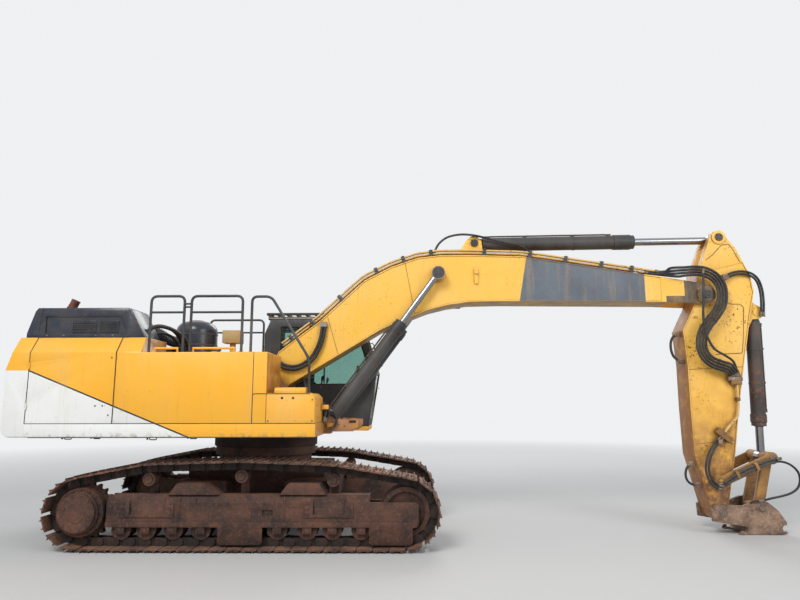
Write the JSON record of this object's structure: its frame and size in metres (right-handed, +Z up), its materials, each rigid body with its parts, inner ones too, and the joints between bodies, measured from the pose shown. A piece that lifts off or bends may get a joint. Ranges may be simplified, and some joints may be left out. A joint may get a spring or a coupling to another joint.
{
  "type": "crawler excavator",
  "caption": "Crawler excavator with slewing upper structure, bent boom, stick, link-driven quick coupler, cab and steel tracks.",
  "frame": {"origin": "on the ground under the middle of the whole machine's length and width", "axes": "+X forward along the boom, +Y to the machine's left, where the cab is, +Z up"},
  "size_m": [11.659, 2.99, 4.6562],
  "materials": {
    "rust_steel": "rusty, dusty",
    "track_steel": "rusty, worn on the grousers",
    "body_yellow": "gloss paint, slightly faded",
    "tail_white": "gloss paint with dust",
    "black_paint": "satin black",
    "hood_black": "satin black plastic",
    "engine_metal": "painted casting, oily",
    "exhaust_metal": "heat stained, rusty",
    "glass_green": "tinted green",
    "seat_cloth": "woven dark cloth",
    "cab_plastic": "grained",
    "boom_yellow": "gloss paint, scratched",
    "pipe_steel": "dusty yellow paint, part bare",
    "hose_rubber": "ribbed, dusty",
    "rod_chrome": "polished",
    "worn_steel": "worn paint and bare steel"
  },
  "bodies": {
    "undercarriage": {"car_body": "rust_steel", "track_frame_right": "rust_steel", "track_frame_left": "rust_steel", "track_right": "track_steel", "track_left": "track_steel", "sprockets": "rust_steel", "idlers": "rust_steel", "bottom_rollers": "rust_steel", "carrier_rollers": "rust_steel"},
    "house": {"upper_frame": "body_yellow", "cab_base": "body_yellow", "counterweight": "tail_white", "bay_frame": "black_paint", "engine": "engine_metal", "radiator": "engine_metal", "fuel_tank": "body_yellow", "toolbox": "body_yellow", "left_housing": "body_yellow", "air_cleaner": "hood_black", "handrails_right": "black_paint", "handrails_left": "black_paint", "cab_shell": "black_paint", "cab_glass": "glass_green", "seat": "seat_cloth", "console": "cab_plastic"},
    "boom": {"boom": "boom_yellow", "boom_pipes": "pipe_steel", "boom_hoses": "hose_rubber"},
    "boom_barrel_right": {"boom_barrel_right": "black_paint"},
    "boom_rod_right": {"boom_rod_right": "rod_chrome"},
    "boom_barrel_left": {"boom_barrel_left": "black_paint"},
    "boom_rod_left": {"boom_rod_left": "rod_chrome"},
    "stick": {"stick": "boom_yellow", "stick_pipes": "pipe_steel", "stick_hoses": "hose_rubber"},
    "arm_barrel": {"arm_barrel": "black_paint"},
    "arm_rod": {"arm_rod": "rod_chrome"},
    "coupler": {"quick_coupler": "worn_steel"},
    "bucket_barrel": {"bucket_barrel": "black_paint"},
    "bucket_rod": {"bucket_rod": "rod_chrome"},
    "side_links": {"side_links": "worn_steel", "link_hoses": "hose_rubber"},
    "power_link": {"power_link": "worn_steel"},
    "cab_door": {"cab_door": "black_paint", "door_glass": "glass_green"},
    "pump_door": {"pump_door": "body_yellow"},
    "radiator_door": {"radiator_door": "body_yellow"},
    "service_door": {"service_door": "body_yellow"},
    "engine_hood": {"engine_hood": "hood_black", "exhaust": "exhaust_metal"}
  },
  "joints": [
    {"name": "slew", "type": "hinge", "parent": "undercarriage", "child": "house", "pos_m": [-2.20946, 0, 1.3], "axis": [0, 0, 1], "continuous": true},
    {"name": "boom_lift", "type": "hinge", "parent": "house", "child": "boom", "pos_m": [-2.09946, 0, 2.215], "axis": [0, -1, 0], "range_deg": [-52, 48]},
    {"name": "boom_barrel_tilt_right", "type": "hinge", "parent": "house", "child": "boom_barrel_right", "pos_m": [-1.20646, -0.4, 1.64], "axis": [0, -1, 0], "range_deg": [-53.44, 49.34]},
    {"name": "boom_rod_slide_right", "type": "slide", "parent": "boom_barrel_right", "child": "boom_rod_right", "axis": [0.5937, 0, 0.8047], "range_m": [-0.8416, 0.7769]},
    {"name": "boom_barrel_tilt_left", "type": "hinge", "parent": "house", "child": "boom_barrel_left", "pos_m": [-1.20646, 0.4, 1.64], "axis": [0, -1, 0], "range_deg": [-53.44, 49.34]},
    {"name": "boom_rod_slide_left", "type": "slide", "parent": "boom_barrel_left", "child": "boom_rod_left", "axis": [0.5937, 0, 0.8047], "range_m": [-0.8416, 0.7769]},
    {"name": "arm_swing", "type": "hinge", "parent": "boom", "child": "stick", "pos_m": [4.67254, 0, 3.607], "axis": [0, 1, 0], "range_deg": [-66, 42]},
    {"name": "arm_barrel_tilt", "type": "hinge", "parent": "boom", "child": "arm_barrel", "pos_m": [1.09054, 0, 4.49], "axis": [0, 1, 0], "range_deg": [-1.99, 1.3]},
    {"name": "arm_rod_slide", "type": "slide", "parent": "arm_barrel", "child": "arm_rod", "axis": [0.9999, 0, 0.0126], "range_m": [-1.0072, 0.6413]},
    {"name": "coupler_curl", "type": "hinge", "parent": "stick", "child": "coupler", "pos_m": [4.67854, 0, 0.31], "axis": [0, 1, 0], "range_deg": [-32, 120]},
    {"name": "bucket_barrel_tilt", "type": "hinge", "parent": "stick", "child": "bucket_barrel", "pos_m": [5.51254, 0, 3.342], "axis": [0, 1, 0], "range_deg": [-0.83, 2.84]},
    {"name": "bucket_rod_slide", "type": "slide", "parent": "bucket_barrel", "child": "bucket_rod", "axis": [-0.0246, 0, -0.9997], "range_m": [-0.3039, 1.1368]},
    {"name": "side_link_swing", "type": "hinge", "parent": "stick", "child": "side_links", "pos_m": [4.67054, 0, 0.76], "axis": [0, 1, 0], "range_deg": [-22.57, 84.36]},
    {"name": "power_link_swing", "type": "hinge", "parent": "side_links", "child": "power_link", "pos_m": [5.45754, 0, 1.109], "axis": [0, 1, 0], "range_deg": [-35.82, 9.63]},
    {"name": "cab_door_swing", "type": "hinge", "parent": "house", "child": "cab_door", "pos_m": [-1.78546, 1.48, 2.5], "axis": [0, 0, 1], "range_deg": [0, 140]},
    {"name": "pump_door_swing", "type": "hinge", "parent": "house", "child": "pump_door", "pos_m": [-5.19046, -1.48, 2.2], "axis": [0, 0, -1], "range_deg": [0, 110]},
    {"name": "radiator_door_swing", "type": "hinge", "parent": "house", "child": "radiator_door", "pos_m": [-5.19046, 1.48, 2.2], "axis": [0, 0, 1], "range_deg": [0, 110]},
    {"name": "service_door_swing", "type": "hinge", "parent": "house", "child": "service_door", "pos_m": [-3.96046, 1.48, 2.2], "axis": [0, 0, 1], "range_deg": [0, 100]},
    {"name": "hood_lift", "type": "hinge", "parent": "house", "child": "engine_hood", "pos_m": [-5.42346, -0.97, 2.879], "axis": [0, -1, 0], "range_deg": [0, 60]}
  ],
  "couplings": [
    {"joint": "boom_barrel_tilt_right", "follows": "boom_lift", "ratio": 1.0258},
    {"joint": "boom_rod_slide_right", "follows": "boom_lift", "m_per_rad": 0.9262},
    {"joint": "boom_barrel_tilt_left", "follows": "boom_lift", "ratio": 1.0258},
    {"joint": "boom_rod_slide_left", "follows": "boom_lift", "m_per_rad": 0.9262},
    {"joint": "arm_barrel_tilt", "follows": "arm_swing", "ratio": 0.0287},
    {"joint": "arm_rod_slide", "follows": "arm_swing", "m_per_rad": 0.8735},
    {"joint": "bucket_barrel_tilt", "follows": "coupler_curl", "ratio": 0.0228},
    {"joint": "bucket_rod_slide", "follows": "coupler_curl", "m_per_rad": 0.5423},
    {"joint": "side_link_swing", "follows": "coupler_curl", "ratio": 0.7022},
    {"joint": "power_link_swing", "follows": "coupler_curl", "ratio": -0.2977}
  ]
}
